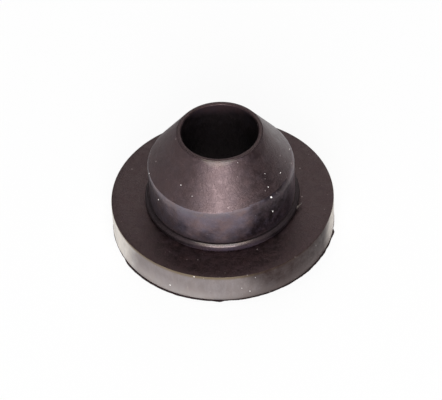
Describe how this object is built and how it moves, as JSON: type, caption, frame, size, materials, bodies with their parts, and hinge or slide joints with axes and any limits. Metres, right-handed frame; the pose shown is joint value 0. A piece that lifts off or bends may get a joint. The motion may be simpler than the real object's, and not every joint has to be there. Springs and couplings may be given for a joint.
{
  "type": "pump seal",
  "caption": "Moulded rubber bush with a flat flange, a neck and a tapered nose, which seals a small pump's spigot into the wall of a tank.",
  "frame": {"origin": "centre of the flange's underside, on the bore's axis", "axes": "+Z along the bore's axis, from the flange towards the nose; the part is round, so X and Y are any pair"},
  "size_m": [0.0306, 0.0306, 0.0166],
  "materials": {
    "rubber": "satin"
  },
  "bodies": {
    "root": {"pump_seal": "rubber"}
  },
  "joints": []
}
